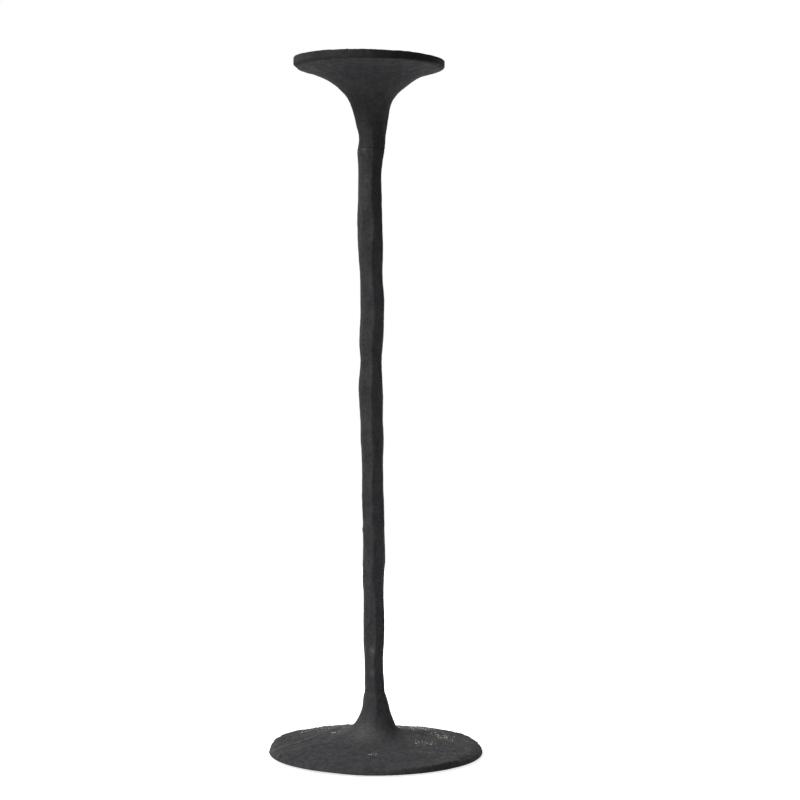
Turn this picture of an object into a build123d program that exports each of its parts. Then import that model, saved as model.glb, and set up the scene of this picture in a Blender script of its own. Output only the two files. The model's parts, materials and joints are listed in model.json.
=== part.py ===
from build123d import *
import math
import os

# Tall candle stand in cast iron: a flared pan for a pillar candle on a slim, hand-worked stem that
# leans a little, screwed to a heavy round base. Millimetres, +Z up, +X to the right, the viewer on
# the -Y side. The origin is under the middle of the base, on the surface that the stand rests on.

# Felt pads
pad_diameter = 18.0
pad_thickness = 1.5
pad_count = 4
pad_ring_radius = 61.0
pad_first_angle = 45.0

# Base: a round plate with a low bevelled rim, thinner at the right, that runs up into a neck
base_diameter = 154.0
base_height = 45.0
rim_thickness = 3.9
rim_bevel_angle = 17.0
rim_rise = 1.6
rim_rise_angle = 160.0
base_recess_outer = 100.0
base_recess_inner = 40.0
base_recess_depth = 2.5
# Slope of the base from the rim up to the neck: height above the rim as a share of the whole height,
# reach beyond the neck as a share of the reach to the rim, and how far the middle is moved
base_flare = [
    (-0.035, 1.100, (0.0, 0.0)),
    (0.000, 1.000, (0.0, 0.0)),
    (0.050, 0.860, (-2.0, 0.0)),
    (0.100, 0.690, (-4.2, 0.3)),
    (0.140, 0.520, (-4.8, 0.4)),
    (0.178, 0.380, (-4.4, 0.4)),
    (0.215, 0.285, (-3.6, 0.3)),
    (0.260, 0.211, (-2.6, 0.2)),
    (0.308, 0.162, (-1.9, 0.1)),
    (0.360, 0.129, (-1.3, 0.0)),
    (0.420, 0.102, (-0.5, -0.1)),
    (0.500, 0.079, (0.0, -0.2)),
    (0.620, 0.052, (0.3, -0.2)),
    (0.800, 0.028, (0.3, 0.0)),
    (0.920, 0.012, (0.0, 0.1)),
]

# Stem: thicker at its head than at its foot, with worked swells and waists
stem_length = 390.5
stem_foot_diameter = 13.8
stem_head_diameter = 19.0
stem_foot_x = -1.1
stem_head_x = -3.5
stem_head_swell = 1.6
stem_depth_share = 0.97
# Share of the stem's length, how far its middle stands off the straight line between the ends, to
# the right and to the back, and how much wider it is than an even taper
stem_stations = [
    (0.027, (-0.3, 0.2), -0.6),
    (0.070, (-0.4, 0.4), -0.4),
    (0.096, (-0.3, 0.3), 0.5),
    (0.137, (-0.3, -0.1), 0.6),
    (0.170, (-0.3, -0.4), 0.1),
    (0.210, (-0.3, -0.3), 0.7),
    (0.245, (0.2, 0.1), 1.2),
    (0.285, (0.1, 0.4), 0.7),
    (0.324, (0.0, 0.5), 0.4),
    (0.360, (-0.3, 0.1), 0.5),
    (0.393, (-0.4, -0.3), -0.2),
    (0.434, (-0.5, -0.6), -0.1),
    (0.462, (-0.5, -0.4), 0.9),
    (0.501, (-0.9, 0.0), 0.6),
    (0.535, (-1.2, 0.4), 1.3),
    (0.570, (-1.5, 0.6), 1.0),
    (0.605, (-1.0, 0.3), -1.0),
    (0.641, (-0.8, -0.2), 0.6),
    (0.690, (0.1, -0.5), 0.6),
    (0.731, (0.1, -0.4), 0.4),
    (0.766, (-0.4, 0.0), -0.6),
    (0.803, (-0.7, 0.4), 0.9),
    (0.842, (-1.1, 0.5), 0.8),
    (0.880, (-1.3, 0.2), 0.6),
    (0.912, (-1.0, -0.1), -0.4),
    (0.944, (-1.1, -0.3), -0.7),
    (0.972, (-0.7, -0.1), -0.2),
    (0.987, (-0.4, 0.0), 1.2),
]

# Pan: a neck that flares into a wide flat pan, whose top face slopes down a little to the right
pan_height = 63.0
pan_diameter = 107.6
pan_shift = -1.4
pan_rim_height = 4.4
pan_corner_height = 1.5
pan_corner_reach = 2.2
pan_slope = 1.2
pan_under_slope = 0.7
dish_diameter = 95.0
dish_depth = 3.0
# Flare under the pan: share of the height up to the rim's corner, share of the reach from the neck
# to the corner, and how far the middle is moved to the right
pan_flare = [
    (0.065, -0.001, 0.6),
    (0.122, -0.003, 0.8),
    (0.262, 0.026, 0.6),
    (0.402, 0.063, 0.3),
    (0.542, 0.107, 0.0),
    (0.625, 0.158, -0.1),
    (0.717, 0.260, 0.2),
    (0.795, 0.380, 0.4),
    (0.874, 0.531, 0.6),
    (0.925, 0.665, 0.7),
    (0.965, 0.815, 0.8),
]

# Screws and washers, all for one M8 thread
screw_diameter = 8.0
thread_clearance = 0.05
screw_hole_clearance = 0.3
stud_length = 32.0
screw_end_clearance = 2.0
bolt_length = 55.0
bolt_head_width = 13.0
bolt_head_height = 5.3
head_hole_diameter = 22.0
head_clearance = 0.6
washer_diameter = 16.0
washer_thickness = 1.6
spring_washer_diameter = 14.8
spring_washer_thickness = 2.0
spring_washer_gap = 1.6
washer_bore_clearance = 0.2
screw_chamfer = 0.8

# Heights of the joints
base_z = pad_thickness
stem_z = base_z + base_height
pan_z = stem_z + stem_length
top_z = pan_z + pan_height
washer_z = base_z + head_clearance + bolt_head_height + spring_washer_thickness
head_hole_top = washer_z + washer_thickness
tapped_radius = screw_diameter / 2 + thread_clearance
bolt_reach = bolt_length - (stem_z - head_hole_top) - washer_thickness - spring_washer_thickness

outline_angles = range(0, 360, 45)


def worked_outline(middle, width, depth, turn, unevenness):
    """Points of a closed, slightly uneven outline that keeps its full width from left to right."""
    points = []
    for angle in outline_angles:
        direction = math.radians(angle)
        uneven = unevenness * math.sin(3 * direction + turn) * abs(math.sin(direction))
        points.append(
            (
                middle[0] + width / 2 * math.cos(direction),
                middle[1] + depth / 2 * math.sin(direction) * (1 + uneven),
            )
        )
    return points


def between(start, end, share):
    return start + (end - start) * share


# Base: the flare from the rim to the neck is what is left of a block over the whole plate
rim_mean_z = base_z + rim_thickness
neck_rise = stem_z - rim_mean_z
rim_top_diameter = base_diameter - 2 * rim_thickness * math.tan(math.radians(rim_bevel_angle))
rim_axis = Axis((0, 0, 0), Vector(0, 1, 0).rotate(Axis.Z, rim_rise_angle))


def rim_plane(share):
    """Plane at a share of the way up from the rim to the stem, tilted less the higher it is."""
    tilt = math.degrees(math.atan(rim_rise / base_diameter)) * min(1 - share, 1) ** 6
    normal = Vector(0, 0, 1).rotate(rim_axis, -tilt)
    return Plane(origin=(0, 0, rim_mean_z + neck_rise * share), z_dir=normal, x_dir=(1, 0, 0))


with BuildPart() as above_base:
    with BuildSketch(Plane.XY.offset(rim_mean_z - rim_rise)):
        Circle(base_diameter)
    extrude(amount=base_height)
    for station, (rise, reach, moved) in enumerate(base_flare):
        across = between(stem_foot_diameter, rim_top_diameter, reach)
        middle = (stem_foot_x * rise + moved[0], moved[1])
        with BuildSketch(rim_plane(rise)):
            with BuildLine():
                Spline(*worked_outline(middle, across, across, station, 0.012), periodic=True)
            make_face()
    with BuildSketch(rim_plane(1)):
        with Locations((stem_foot_x, 0)):
            Circle(stem_foot_diameter / 2)
    loft(mode=Mode.SUBTRACT)

with BuildPart() as base:
    with BuildSketch(Plane.XY.offset(base_z)):
        Circle(base_diameter / 2)
    extrude(amount=base_height, taper=rim_bevel_angle)
    add(above_base.part, mode=Mode.SUBTRACT)
    with BuildSketch(Plane.XY.offset(base_z)):
        Circle(base_recess_outer / 2)
        Circle(base_recess_inner / 2, mode=Mode.SUBTRACT)
    extrude(amount=base_recess_depth, mode=Mode.SUBTRACT)
    with BuildSketch(Plane.XY.offset(base_z)):
        with Locations((stem_foot_x, 0)):
            Circle(head_hole_diameter / 2)
    extrude(amount=head_hole_top - base_z, mode=Mode.SUBTRACT)
    with BuildSketch(Plane.XY.offset(head_hole_top)):
        with Locations((stem_foot_x, 0)):
            Circle(screw_diameter / 2 + screw_hole_clearance)
    extrude(amount=stem_z - head_hole_top, mode=Mode.SUBTRACT)
base.part.label = "base"

# Stem, from its flat foot to its flat head
stem_taper_head = stem_head_diameter - stem_head_swell

with BuildPart() as stem:
    with BuildSketch(Plane.XY.offset(stem_z)):
        with Locations((stem_foot_x, 0)):
            Circle(stem_foot_diameter / 2)
    for station, (share, moved, swell) in enumerate(stem_stations):
        across = between(stem_foot_diameter, stem_taper_head, share) + swell
        middle = (between(stem_foot_x, stem_head_x, share) + moved[0], moved[1])
        with BuildSketch(Plane.XY.offset(stem_z + stem_length * share)):
            with BuildLine():
                Spline(
                    *worked_outline(middle, across, across * stem_depth_share, station, 0.04),
                    periodic=True,
                )
            make_face()
    with BuildSketch(Plane.XY.offset(pan_z)):
        with Locations((stem_head_x, 0)):
            Circle(stem_head_diameter / 2)
    loft()
    with Locations(Plane(origin=(stem_foot_x, 0, stem_z), z_dir=(0, 0, -1))):
        Hole(tapped_radius, bolt_reach + screw_end_clearance)
    with Locations((stem_head_x, 0, pan_z)):
        Hole(tapped_radius, stud_length / 2 + screw_end_clearance)
stem.part.label = "stem"

# Pan: neck and flare, rounded lower corner, rim, sloping top face and shallow dish
corner_z = top_z - pan_rim_height - pan_corner_height
rim_z = top_z - pan_rim_height
corner_diameter = pan_diameter - 2 * pan_corner_reach
pan_x = stem_head_x + pan_shift
slope_rise = pan_diameter / 2 * math.tan(math.radians(pan_slope))


def pan_plane(height, slope):
    """Plane across the pan at a height over its middle, sloping down to the right."""
    return Plane(origin=(pan_x, 0, height), z_dir=(0, 0, 1)).rotated((0, slope, 0))


with BuildPart() as pan:
    with BuildSketch(Plane.XY.offset(pan_z)):
        with Locations((stem_head_x, 0)):
            Circle(stem_head_diameter / 2)
    for station, (rise, reach, moved) in enumerate(pan_flare):
        across = between(stem_head_diameter, corner_diameter, reach)
        middle = ((stem_head_x - pan_x) * (1 - reach) + moved, 0)
        with BuildSketch(pan_plane(between(pan_z, corner_z, rise), pan_under_slope * rise**4)):
            with BuildLine():
                Spline(*worked_outline(middle, across, across, station, 0.008), periodic=True)
            make_face()
    with BuildSketch(pan_plane(corner_z, pan_under_slope)):
        Circle(corner_diameter / 2)
    loft()
    with BuildSketch(pan_plane(corner_z, pan_under_slope)):
        Circle(corner_diameter / 2)
    with BuildSketch(pan_plane(rim_z, pan_under_slope)):
        Circle(pan_diameter / 2)
    loft()
    with BuildSketch(pan_plane(rim_z, pan_under_slope)):
        Circle(pan_diameter / 2)
    extrude(amount=pan_rim_height + 2 * slope_rise)
    split(bisect_by=pan_plane(top_z, pan_slope), keep=Keep.BOTTOM)
    with BuildSketch(Plane.XY.offset(top_z - dish_depth)):
        with Locations((pan_x, 0)):
            Circle(dish_diameter / 2)
    extrude(amount=dish_depth + 2 * slope_rise, mode=Mode.SUBTRACT)
    with Locations(Plane(origin=(stem_head_x, 0, pan_z), z_dir=(0, 0, -1))):
        Hole(tapped_radius, stud_length / 2 + screw_end_clearance)
pan.part.label = "pan"

# Stud between the stem and the pan, half in each
with BuildPart() as top_stud:
    with BuildSketch(Plane.XY.offset(pan_z - stud_length / 2)):
        with Locations((stem_head_x, 0)):
            Circle(screw_diameter / 2)
    extrude(amount=stud_length)
    chamfer(top_stud.edges().filter_by(GeomType.CIRCLE), screw_chamfer)
top_stud.part.label = "top_stud"

# Hexagon bolt up through the base into the stem
shank_z = washer_z - spring_washer_thickness

with BuildPart() as base_bolt:
    with BuildSketch(Plane.XY.offset(shank_z)):
        with Locations((stem_foot_x, 0)):
            Circle(screw_diameter / 2)
    extrude(amount=bolt_length)
    chamfer(base_bolt.edges().group_by(Axis.Z)[-1], screw_chamfer)
    with BuildSketch(Plane.XY.offset(shank_z - bolt_head_height)):
        with Locations((stem_foot_x, 0)):
            RegularPolygon(bolt_head_width / 2, 6, major_radius=False)
    extrude(amount=bolt_head_height)
base_bolt.part.label = "base_bolt"

# Flat washer, and a split spring washer between it and the bolt's head
with BuildPart() as base_washer:
    with BuildSketch(Plane.XY.offset(washer_z)):
        with Locations((stem_foot_x, 0)):
            Circle(washer_diameter / 2)
            Circle(screw_diameter / 2 + washer_bore_clearance, mode=Mode.SUBTRACT)
    extrude(amount=washer_thickness)
base_washer.part.label = "base_washer"

with BuildPart() as spring_washer:
    with BuildSketch(Plane.XY.offset(shank_z)):
        with Locations((stem_foot_x, 0)):
            Circle(spring_washer_diameter / 2)
            Circle(screw_diameter / 2 + washer_bore_clearance, mode=Mode.SUBTRACT)
        with Locations((stem_foot_x + spring_washer_diameter / 2, 0)):
            Rectangle(spring_washer_diameter, spring_washer_gap, mode=Mode.SUBTRACT)
    extrude(amount=spring_washer_thickness)
spring_washer.part.label = "spring_washer"

os.makedirs("parts", exist_ok=True)

# Felt pads, evenly spaced under the outer part of the base
for pad_number in range(pad_count):
    pad_angle = math.radians(pad_first_angle + 360 / pad_count * pad_number)
    with BuildPart() as foot_pad:
        with BuildSketch():
            with Locations(
                (pad_ring_radius * math.cos(pad_angle), pad_ring_radius * math.sin(pad_angle))
            ):
                Circle(pad_diameter / 2)
        extrude(amount=pad_thickness)
    foot_pad.part.label = f"foot_pad_{pad_number + 1}"
    export_step(foot_pad.part, f"parts/{foot_pad.part.label}.step")

for piece in (base, stem, pan, top_stud, base_bolt, base_washer, spring_washer):
    export_step(piece.part, f"parts/{piece.part.label}.step")
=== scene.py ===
import json
import math
from functools import partial

import bmesh
import bpy
import numpy as np
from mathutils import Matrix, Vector


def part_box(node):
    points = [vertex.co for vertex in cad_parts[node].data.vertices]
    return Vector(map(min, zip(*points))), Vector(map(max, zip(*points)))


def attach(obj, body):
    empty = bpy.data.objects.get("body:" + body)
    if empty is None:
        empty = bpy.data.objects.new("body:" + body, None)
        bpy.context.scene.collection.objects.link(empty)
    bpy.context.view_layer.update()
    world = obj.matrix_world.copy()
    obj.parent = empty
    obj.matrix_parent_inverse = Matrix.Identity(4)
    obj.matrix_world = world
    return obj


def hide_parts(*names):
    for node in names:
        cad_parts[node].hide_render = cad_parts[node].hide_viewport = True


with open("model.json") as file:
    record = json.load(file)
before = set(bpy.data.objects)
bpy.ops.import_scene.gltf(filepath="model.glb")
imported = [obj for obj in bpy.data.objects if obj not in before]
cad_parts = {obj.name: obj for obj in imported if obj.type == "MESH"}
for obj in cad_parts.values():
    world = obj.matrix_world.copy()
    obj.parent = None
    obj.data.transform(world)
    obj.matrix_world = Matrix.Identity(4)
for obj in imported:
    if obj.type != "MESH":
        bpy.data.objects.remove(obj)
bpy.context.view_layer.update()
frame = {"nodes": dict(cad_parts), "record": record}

# Tall candle stand in sand-cast, hand-worked iron under black wax. Metres, +Z up, the viewer on the -Y
# side. Every casting starts from its node in the frame and gets the skin that the sand, the hammer and
# the wax leave on it.

bl_info = {
    "name": "Cast iron candle stand",
    "version": (1, 0, 0),
    "blender": (4, 5, 0),
    "location": "3D View > Sidebar > Candle Stand",
    "description": "Castings, screws, felt pads and studio of a tall black iron candle stand",
    "category": "Object",
}

MM = 0.001
BASE_LOW, BASE_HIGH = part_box("base")
STEM_LOW, STEM_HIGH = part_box("stem")
PAN_LOW, PAN_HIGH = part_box("pan")
BOLT_LOW, BOLT_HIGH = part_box("base_bolt")
STUD_LOW, STUD_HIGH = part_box("top_stud")
MOUNTS = {mount["name"]: mount for mount in frame["record"]["mounts"]}
PAD_NAMES = sorted(name for name in frame["nodes"] if name.startswith("foot_pad"))


def linear(code):
    """Linear red, green, blue and alpha of an sRGB hex colour."""
    channels = [int(code[place : place + 2], 16) / 255 for place in (1, 3, 5)]
    return (*[c / 12.92 if c <= 0.04045 else ((c + 0.055) / 1.055) ** 2.4 for c in channels], 1.0)


# Sizes and colours that a user would change


def length_property(name, description, default):
    return bpy.props.FloatProperty(
        name=name, description=description, default=default, min=0.0, precision=5, unit="LENGTH"
    )


def colour_property(name, description, code):
    return bpy.props.FloatVectorProperty(
        name=name, description=description, default=linear(code), size=4, min=0.0, max=1.0, subtype="COLOR"
    )


def strength_property(name, description, default):
    return bpy.props.FloatProperty(name=name, description=description, default=default, min=0.0)


class CastingSettings(bpy.types.PropertyGroup):
    """The skin of the three iron castings."""

    lump_size: length_property("Lump size", "Width of the soft lumps that the sand mould leaves", 9 * MM)
    lump_height: length_property("Lump height", "Height of the soft lumps", 0.16 * MM)
    grain_size: length_property("Grain size", "Width of the coarse sand grain", 1.7 * MM)
    grain_height: length_property("Grain height", "Height of the coarse sand grain", 0.05 * MM)
    pit_spacing: length_property("Pit spacing", "Distance between blow holes", 7 * MM)
    pit_depth: length_property("Pit depth", "Depth of the blow holes", 0.28 * MM)
    bare_grain_height: length_property("Bare grain height", "How far a bare grain stands out", 0.5 * MM)
    mould_wave: length_property("Mould waves", "Height of the hand-packed mould's waves", 0.33 * MM)
    stem_dent: length_property("Stem dents", "Depth of the long hammer marks on the stem", 0.36 * MM)
    wax: colour_property("Wax", "Black wax where it lies thick in the hollows", "#2f2f32")
    # Also the colour of painted light on the lit sides
    rubbed_wax: colour_property("Rubbed wax", "Grey of the wax where it is rubbed thin", "#3d3d3e")
    # Painted shade: this darker wax colour is laid on the shaded sides and in the corners
    thick_wax: colour_property("Shaded wax", "Wax on smooth edges and in corners", "#161617")
    # Also the colour of a painted sheen behind the neck and of painted highlights on edges
    worn_wax: colour_property("Worn wax", "Warm grey iron where the wax is worn almost through", "#5c5750")
    # Drawn near-white, so the bare grains are also painted glints
    bare_iron: colour_property("Bare iron", "Iron grains that show through the wax", "#eae8e2")


class HardwareSettings(bpy.types.PropertyGroup):
    """Screws and washers."""

    pitch: length_property("Thread pitch", "Pitch of the M8 thread", 1.25 * MM)
    thread_depth: length_property("Thread depth", "Depth of the rolled thread", 0.72 * MM)
    bolt_thread: length_property("Bolt thread", "Length of the bolt that is threaded", 22 * MM)
    zinc: colour_property("Zinc", "Bright zinc plate", "#b4b7bb")


class FeltSettings(bpy.types.PropertyGroup):
    """Pads under the base."""

    fibre_length: length_property("Fibre length", "Length of the loose fibres at the cut edge", 0.9 * MM)
    nap_height: length_property("Nap height", "Unevenness of the felt", 0.12 * MM)
    felt: colour_property("Felt", "Black felt", "#19191a")


class StudioSettings(bpy.types.PropertyGroup):
    """Floor, lamps and camera."""

    key_energy: strength_property("Key lamp", "Strength of the soft key lamp at the left", 3.3)
    ambient: strength_property("Ambient light", "Strength of the room's own light", 0.2)
    camera_place: bpy.props.FloatVectorProperty(
        name="Camera", description="Place of the camera", default=(0.0173, -1.362, 0.297), unit="LENGTH"
    )
    camera_pitch: bpy.props.FloatProperty(
        name="Camera pitch",
        description="How far the camera looks down",
        default=math.radians(1.705),
        subtype="ANGLE",
    )
    floor: colour_property("Floor", "White paper sweep under the stand", "#f2f2f2")
    floor_lift: strength_property("Floor lift", "How far the seen sweep is lifted to white", 0.8)


# Node trees

# Blender's names for the kinds of node that are used most, and settings that come back
MATH = "ShaderNodeMath"
VECTOR_MATH = "ShaderNodeVectorMath"
MAP_RANGE = "ShaderNodeMapRange"
MIX = "ShaderNodeMix"
NOISE = "ShaderNodeTexNoise"
CELLS = "ShaderNodeTexVoronoi"
PRINCIPLED = "ShaderNodeBsdfPrincipled"
ATTRIBUTE = "GeometryNodeInputNamedAttribute"
SET_POSITION = "GeometryNodeSetPosition"
SOFT = {"interpolation_type": "SMOOTHSTEP"}
COLOUR = {"data_type": "RGBA", "clamp_factor": False}

# Inputs of the casting's tree that come from its settings, under the same names
SKIN_SIZES = ("Lump size", "Lump height", "Grain size", "Grain height")
SKIN_SIZES += ("Pit spacing", "Pit depth", "Bare grain height")


def add_node(tree, kind, inputs=(), operation=None, **settings):
    """Adds a node. Its inputs are values, sockets or nodes, in their order or under their names."""
    node = tree.nodes.new(kind)
    if operation:
        node.operation = operation
    for name, value in settings.items():
        setattr(node, name, value)
    for key, value in inputs.items() if isinstance(inputs, dict) else enumerate(inputs):
        if isinstance(key, int):
            target = node.inputs[key]
        else:
            target = next(s for s in node.inputs if s.enabled and s.name == key)
        if isinstance(value, bpy.types.Node):
            value = next(s for s in value.outputs if s.enabled)
        if isinstance(value, bpy.types.NodeSocket):
            tree.links.new(value, target)
        else:
            target.default_value = value
    return node


def made_once(kept, make, *settings):
    """The material or tree that bears the name of its function, made the first time it is asked for."""
    return kept.get(make.__name__) or make(*settings)


def new_tree(name, sizes):
    """A Geometry Nodes tree with named inputs for its sizes: the tree, its add_node and its inputs."""
    tree = bpy.data.node_groups.new(name, "GeometryNodeTree")
    tree.is_modifier = True
    inputs = {"Geometry": "Geometry", **dict.fromkeys(sizes, "Float"), "Material": "Material"}
    for label, kind in inputs.items():
        tree.interface.new_socket(label, in_out="INPUT", socket_type=f"NodeSocket{kind}")
    tree.interface.new_socket("Geometry", in_out="OUTPUT", socket_type="NodeSocketGeometry")
    return tree, partial(add_node, tree), tree.nodes.new("NodeGroupInput").outputs


def close_tree(tree, given, geometry):
    """Ends a tree in plain geometry with its material."""
    real = add_node(tree, "GeometryNodeRealizeInstances", {"Geometry": geometry})
    paint = {"Geometry": real, "Material": given["Material"]}
    add_node(tree, "NodeGroupOutput", {"Geometry": add_node(tree, "GeometryNodeSetMaterial", paint)})
    return tree


def pattern_scale(size):
    """Scale of a texture whose features are to have a real size."""
    return 1 / size


def noise_height(add, place, size, height, detail, seed):
    """Noise of a real size, as a height to both sides of nought."""
    scale = add(MATH, (1.0, size), "DIVIDE")
    counted = add(VECTOR_MATH, {"Vector": place, "Scale": scale}, "SCALE")
    moved = add(VECTOR_MATH, (counted, seed), "ADD")
    noise = add(NOISE, {"Vector": moved, "Scale": 1.0, "Detail": detail, "Roughness": 0.55})
    middle = add(MATH, (noise.outputs[0], 0.5), "SUBTRACT")
    full = add(MATH, (height, 4.0), "MULTIPLY")
    return add(MATH, (middle, full), "MULTIPLY")


def bare_grains(add, place, bare):
    """How much of a bare iron grain shows at a place, and its lot, the same in a mesh and a material."""
    # Crystals of about 0.5 mm, drawn as 1.5 mm cells of which only the middle shows
    plan = add(VECTOR_MATH, (place, (1.0, 1.0, 0.0)), "MULTIPLY")
    grain = add(CELLS, {"Vector": plan, "Scale": pattern_scale(1.5 * MM)})
    crowd = add(NOISE, {"Vector": plan, "Scale": pattern_scale(5 * MM), "Detail": 2.0})
    lot = add("ShaderNodeSeparateXYZ", (grain.outputs["Color"],))
    reach = add(MATH, (lot.outputs[1], 0.3, 0.4), "MULTIPLY_ADD")
    middle = add(MAP_RANGE, (grain.outputs["Distance"], 0.08, reach, 1.0, 0.0), **SOFT)
    crowding = add(MAP_RANGE, (crowd.outputs[0], 0.38, 0.56, 0.2, 0.9), **SOFT)
    crowded = add(MATH, (bare, crowding), "MULTIPLY")
    chosen = add(MATH, (lot.outputs[0], crowded), "LESS_THAN")
    return add(MATH, (middle, chosen), "MULTIPLY"), lot


def cast_skin():
    """Skin of a casting: worked shape, lumps, tool marks, dents, grain, blow holes and bare grains."""
    tree, add, size = new_tree("cast_skin", (*SKIN_SIZES, "Tool mark height", "Dent depth"))
    worked, tooled = (
        add(ATTRIBUTE, {"Name": name}, data_type="FLOAT_VECTOR") for name in ("worked", "tooled")
    )
    free, marked, bare = (
        add(ATTRIBUTE, {"Name": name}, data_type="FLOAT") for name in ("free", "marked", "bare")
    )
    shaped = add(SET_POSITION, {"Geometry": size["Geometry"], "Offset": worked})
    place = add("GeometryNodeInputPosition")
    lumps = noise_height(add, place, size["Lump size"], size["Lump height"], 2.0, (3.1, 7.7, 1.9))
    grain = noise_height(add, place, size["Grain size"], size["Grain height"], 3.0, (8.3, 2.4, 5.2))
    marks = noise_height(add, tooled, 1.0, size["Tool mark height"], 3.0, (1.3, 4.6, 9.1))
    # A dent is a shallow bowl, and two that meet leave a ridge
    dent = add(CELLS, {"Vector": tooled, "Scale": 0.9}).outputs["Distance"]
    bowl = add(MATH, (dent, dent), "MULTIPLY")
    sunk = add(MATH, (bowl, 0.3), "SUBTRACT")
    dented = add(MATH, (sunk, size["Dent depth"], marks), "MULTIPLY_ADD")
    on_tools = add(MATH, (dented, marked), "MULTIPLY")
    # A blow hole stands in one cell out of a few, off its middle
    scale = add(MATH, (1.0, size["Pit spacing"]), "DIVIDE")
    counted = add(VECTOR_MATH, {"Vector": place, "Scale": scale}, "SCALE")
    cell = add(CELLS, {"Vector": counted, "Scale": 1.0})
    lot = add("FunctionNodeSeparateColor", (cell.outputs["Color"],))
    chosen = add(MATH, (lot.outputs[0], 0.62), "GREATER_THAN")
    width = add(MAP_RANGE, (lot.outputs[1], 0.0, 1.0, 0.06, 0.13))
    hole = add(MAP_RANGE, (cell.outputs["Distance"], 0.0, width, 1.0, 0.0), **SOFT)
    pit = add(MATH, (hole, chosen), "MULTIPLY")
    pits = add(MATH, (pit, size["Pit depth"]), "MULTIPLY")
    grains = bare_grains(add, place, bare)[0]
    bumps = add(MATH, (grains, size["Bare grain height"]), "MULTIPLY")
    height = add(MATH, (bumps, pits), "SUBTRACT")
    for part in (lumps, grain, on_tools):
        height = add(MATH, (height, part), "ADD")
    shown = add(MATH, (height, free), "MULTIPLY")
    normal = add("GeometryNodeInputNormal")
    skin = add(VECTOR_MATH, {"Vector": normal, "Scale": shown}, "SCALE")
    return close_tree(tree, size, add(SET_POSITION, {"Geometry": shaped, "Offset": skin}))


def rolled_thread():
    """Presses a screw thread into the stretch of a rod between two heights."""
    tree, add, size = new_tree("rolled_thread", ("Pitch", "Depth", "Start", "End", "Axis x"))
    x, y, z = add("ShaderNodeSeparateXYZ", (add("GeometryNodeInputPosition"),)).outputs
    across = add(MATH, (x, size["Axis x"]), "SUBTRACT")
    angle = add(MATH, (y, across), "ARCTAN2")
    turns = add(MATH, (angle, math.tau), "DIVIDE")
    climb = add(MATH, (z, size["Pitch"]), "DIVIDE")
    phase = add(MATH, (add(MATH, (climb, turns), "SUBTRACT"),), "FRACT")
    flank = add(MATH, (add(MATH, (phase, 0.5), "SUBTRACT"),), "ABSOLUTE")
    # A narrow flat crest and root, with straight flanks between
    profile = add(MAP_RANGE, (flank, 0.07, 0.44))
    from_start = add(MATH, (z, size["Start"]), "SUBTRACT")
    to_end = add(MATH, (size["End"], z), "SUBTRACT")
    nearest = add(MATH, (from_start, to_end), "MINIMUM")
    run = add(MAP_RANGE, (nearest, 0.0, size["Pitch"]))
    share = add(MATH, (profile, run), "MULTIPLY")
    cut = add(MATH, (share, size["Depth"]), "MULTIPLY")
    inward = add(MATH, (cut, -1.0), "MULTIPLY")
    outward = add(VECTOR_MATH, (add("ShaderNodeCombineXYZ", (across, y)),), "NORMALIZE")
    push = add(VECTOR_MATH, {"Vector": outward, "Scale": inward}, "SCALE")
    return close_tree(tree, size, add(SET_POSITION, {"Geometry": size["Geometry"], "Offset": push}))


def cut_felt():
    """Uneven nap on the edge of a felt disc, and loose fibres that stand out of it where it was cut."""
    tree, add, size = new_tree("cut_felt", ("Nap height", "Fibre length", "Fibre density"))
    place = add("GeometryNodeInputPosition")
    nap = noise_height(add, place, 1.6 * MM, size["Nap height"], 3.0, (2.2, 6.1, 3.3))
    edge = add(ATTRIBUTE, {"Name": "edge"}, data_type="FLOAT")
    height = add(MATH, (nap, edge), "MULTIPLY")
    normal = add("GeometryNodeInputNormal")
    push = add(VECTOR_MATH, {"Vector": normal, "Scale": height}, "SCALE")
    napped = add(SET_POSITION, {"Geometry": size["Geometry"], "Offset": push})
    density = add(MATH, (edge, size["Fibre density"]), "MULTIPLY")
    roots = add("GeometryNodeDistributePointsOnFaces", {"Mesh": napped, "Density": density, "Seed": 4})
    cone = {"Vertices": 3, "Radius Top": 0.012 * MM, "Radius Bottom": 0.03 * MM}
    fibre = add("GeometryNodeMeshCone", {**cone, "Depth": size["Fibre length"]}).outputs["Mesh"]
    leans = {"Min": (-1.1, -1.1, 0.0), "Max": (1.1, 1.1, 6.28), "Seed": 9}
    lean = add("FunctionNodeRandomValue", leans, data_type="FLOAT_VECTOR")
    upright = {"Rotation": roots.outputs["Rotation"], "Rotate By": lean}
    leaning = add("FunctionNodeRotateRotation", upright, rotation_space="LOCAL")
    placed = {"Points": roots, "Instance": fibre, "Rotation": leaning}
    fibres = add("GeometryNodeRealizeInstances", {"Geometry": add("GeometryNodeInstanceOnPoints", placed)})
    joined = add("GeometryNodeJoinGeometry", (fibres,))
    tree.links.new(napped.outputs[0], joined.inputs[0])
    # No fibre reaches below the floor
    x, y, z = add("ShaderNodeSeparateXYZ", (add("GeometryNodeInputPosition"),)).outputs
    above = add(MATH, (z, 0.0), "MAXIMUM")
    pressed = add("ShaderNodeCombineXYZ", (x, y, above))
    return close_tree(tree, size, add(SET_POSITION, {"Geometry": joined, "Position": pressed}))


# Materials


def new_material(name):
    """An empty node material, and its add_node."""
    material = bpy.data.materials.new(name)
    material.use_nodes = True
    material.node_tree.nodes.clear()
    return material, partial(add_node, material.node_tree)


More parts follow.
